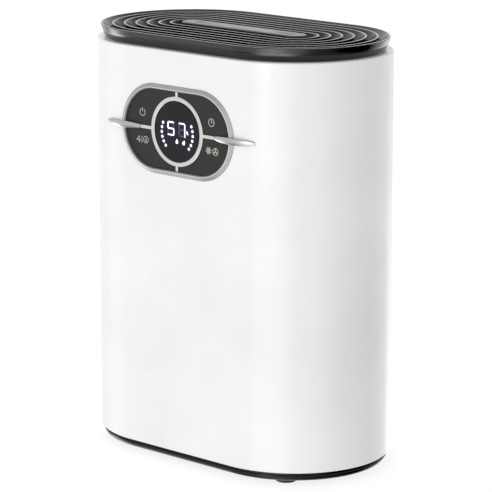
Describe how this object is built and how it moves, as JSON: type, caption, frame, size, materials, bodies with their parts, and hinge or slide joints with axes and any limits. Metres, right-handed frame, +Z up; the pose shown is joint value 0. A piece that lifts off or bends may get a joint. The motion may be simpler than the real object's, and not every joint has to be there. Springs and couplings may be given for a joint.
{
  "type": "dehumidifier",
  "caption": "Thermoelectric dehumidifier in a tall obround casing: louvred outlet on top, touch panel with round display in front, louvred intake and slide-out water tank at the back",
  "frame": {"origin": "centre of the bottom of the object's bounding box, on the floor", "axes": "+Z up; the control panel faces -Y and the water tank slides out towards +Y; the width lies along X, +X on the right as one looks along +Y at the panel"},
  "size_m": [0.23, 0.1368, 0.3005],
  "materials": {
    "casing_white": "smooth satin-gloss white moulding",
    "black_gloss": "polished black moulding",
    "black_satin": "fine-grained black moulding",
    "dark_grey_satin": "satin charcoal touch surface",
    "display_black": "polished dark lens over the display",
    "silver_plate": "satin metallised trim",
    "strip_silver": "silver-grey painted strip",
    "rubber_black": "soft black rubber",
    "inner_grey": "grey inner moulding",
    "tank_clear": "clear bluish moulding",
    "float_white": "foamed white plastic",
    "steel": "bright zinc-plated steel",
    "sink_aluminium": "extruded aluminium",
    "module_ceramic": "white ceramic plates",
    "foam_black": "closed-cell foam",
    "circuit_green": "green solder mask",
    "component_black": "moulded component cases",
    "bronze": "sintered bronze",
    "copper_coil": "enamelled copper on laminated iron",
    "spring_gold": "plated spring wire",
    "magnet_dark": "sintered ferrite",
    "cable_black": "black cable jacket",
    "cable_grey": "grey cable jacket",
    "cable_red": "red lead insulation"
  },
  "bodies": {
    "housing": {"front_shell": "casing_white", "rear_cover": "casing_white", "rear_screws": "steel", "intake_grille": "casing_white", "base": "black_satin", "base_screws": "steel", "feet": "rubber_black", "outlet_ring": "black_gloss", "outlet_grille": "black_satin", "outlet_strip": "strip_silver", "panel_bezel": "silver_plate", "dial_ring": "silver_plate", "left_wing": "silver_plate", "right_wing": "silver_plate", "touch_panel": "dark_grey_satin", "display_lens": "display_black", "display_module": "float_white", "panel_carrier": "black_satin", "control_board": "circuit_green", "board_screws": "steel", "touch_springs": "spring_gold", "display_cable": "cable_grey", "mid_deck": "inner_grey", "deck_screws": "steel", "drip_tray": "inner_grey", "partition": "inner_grey", "cold_sink": "sink_aluminium", "hot_sink": "sink_aluminium", "thermo_modules": "module_ceramic", "module_gasket": "foam_black", "sink_screws": "steel", "module_cables": "cable_red", "fan_duct": "black_satin", "fan_deck": "black_satin", "fan_deck_screws": "steel", "fan_frame": "black_satin", "fan_stator": "copper_coil", "fan_bearing": "bronze", "fan_screws": "steel", "fan_cable": "cable_black", "main_board": "circuit_green", "board_parts": "component_black", "main_board_screws": "steel", "power_inlet": "component_black", "power_cable": "cable_black", "humidity_sensor": "component_black", "level_sensor": "component_black", "sensor_cables": "cable_grey"},
    "tank": {"tank_body": "tank_clear", "tank_panel": "casing_white", "tank_lid": "tank_clear", "float_pin": "steel"},
    "float": {"float_arm": "float_white", "float_block": "float_white", "float_magnet": "magnet_dark"},
    "fan": {"fan_rotor": "black_satin", "fan_shaft": "steel"}
  },
  "joints": [
    {"name": "tank_slide", "type": "slide", "parent": "housing", "child": "tank", "axis": [0, 1, 0], "range_m": [0, 0.14]},
    {"name": "float_tilt", "type": "hinge", "parent": "tank", "child": "float", "pos_m": [-0.062, 0.0016, 0.1053], "axis": [0, -1, 0], "range_deg": [0, 12]},
    {"name": "fan_spin", "type": "hinge", "parent": "housing", "child": "fan", "pos_m": [0, 0.0016, 0.264], "axis": [0, 0, 1], "continuous": true}
  ]
}
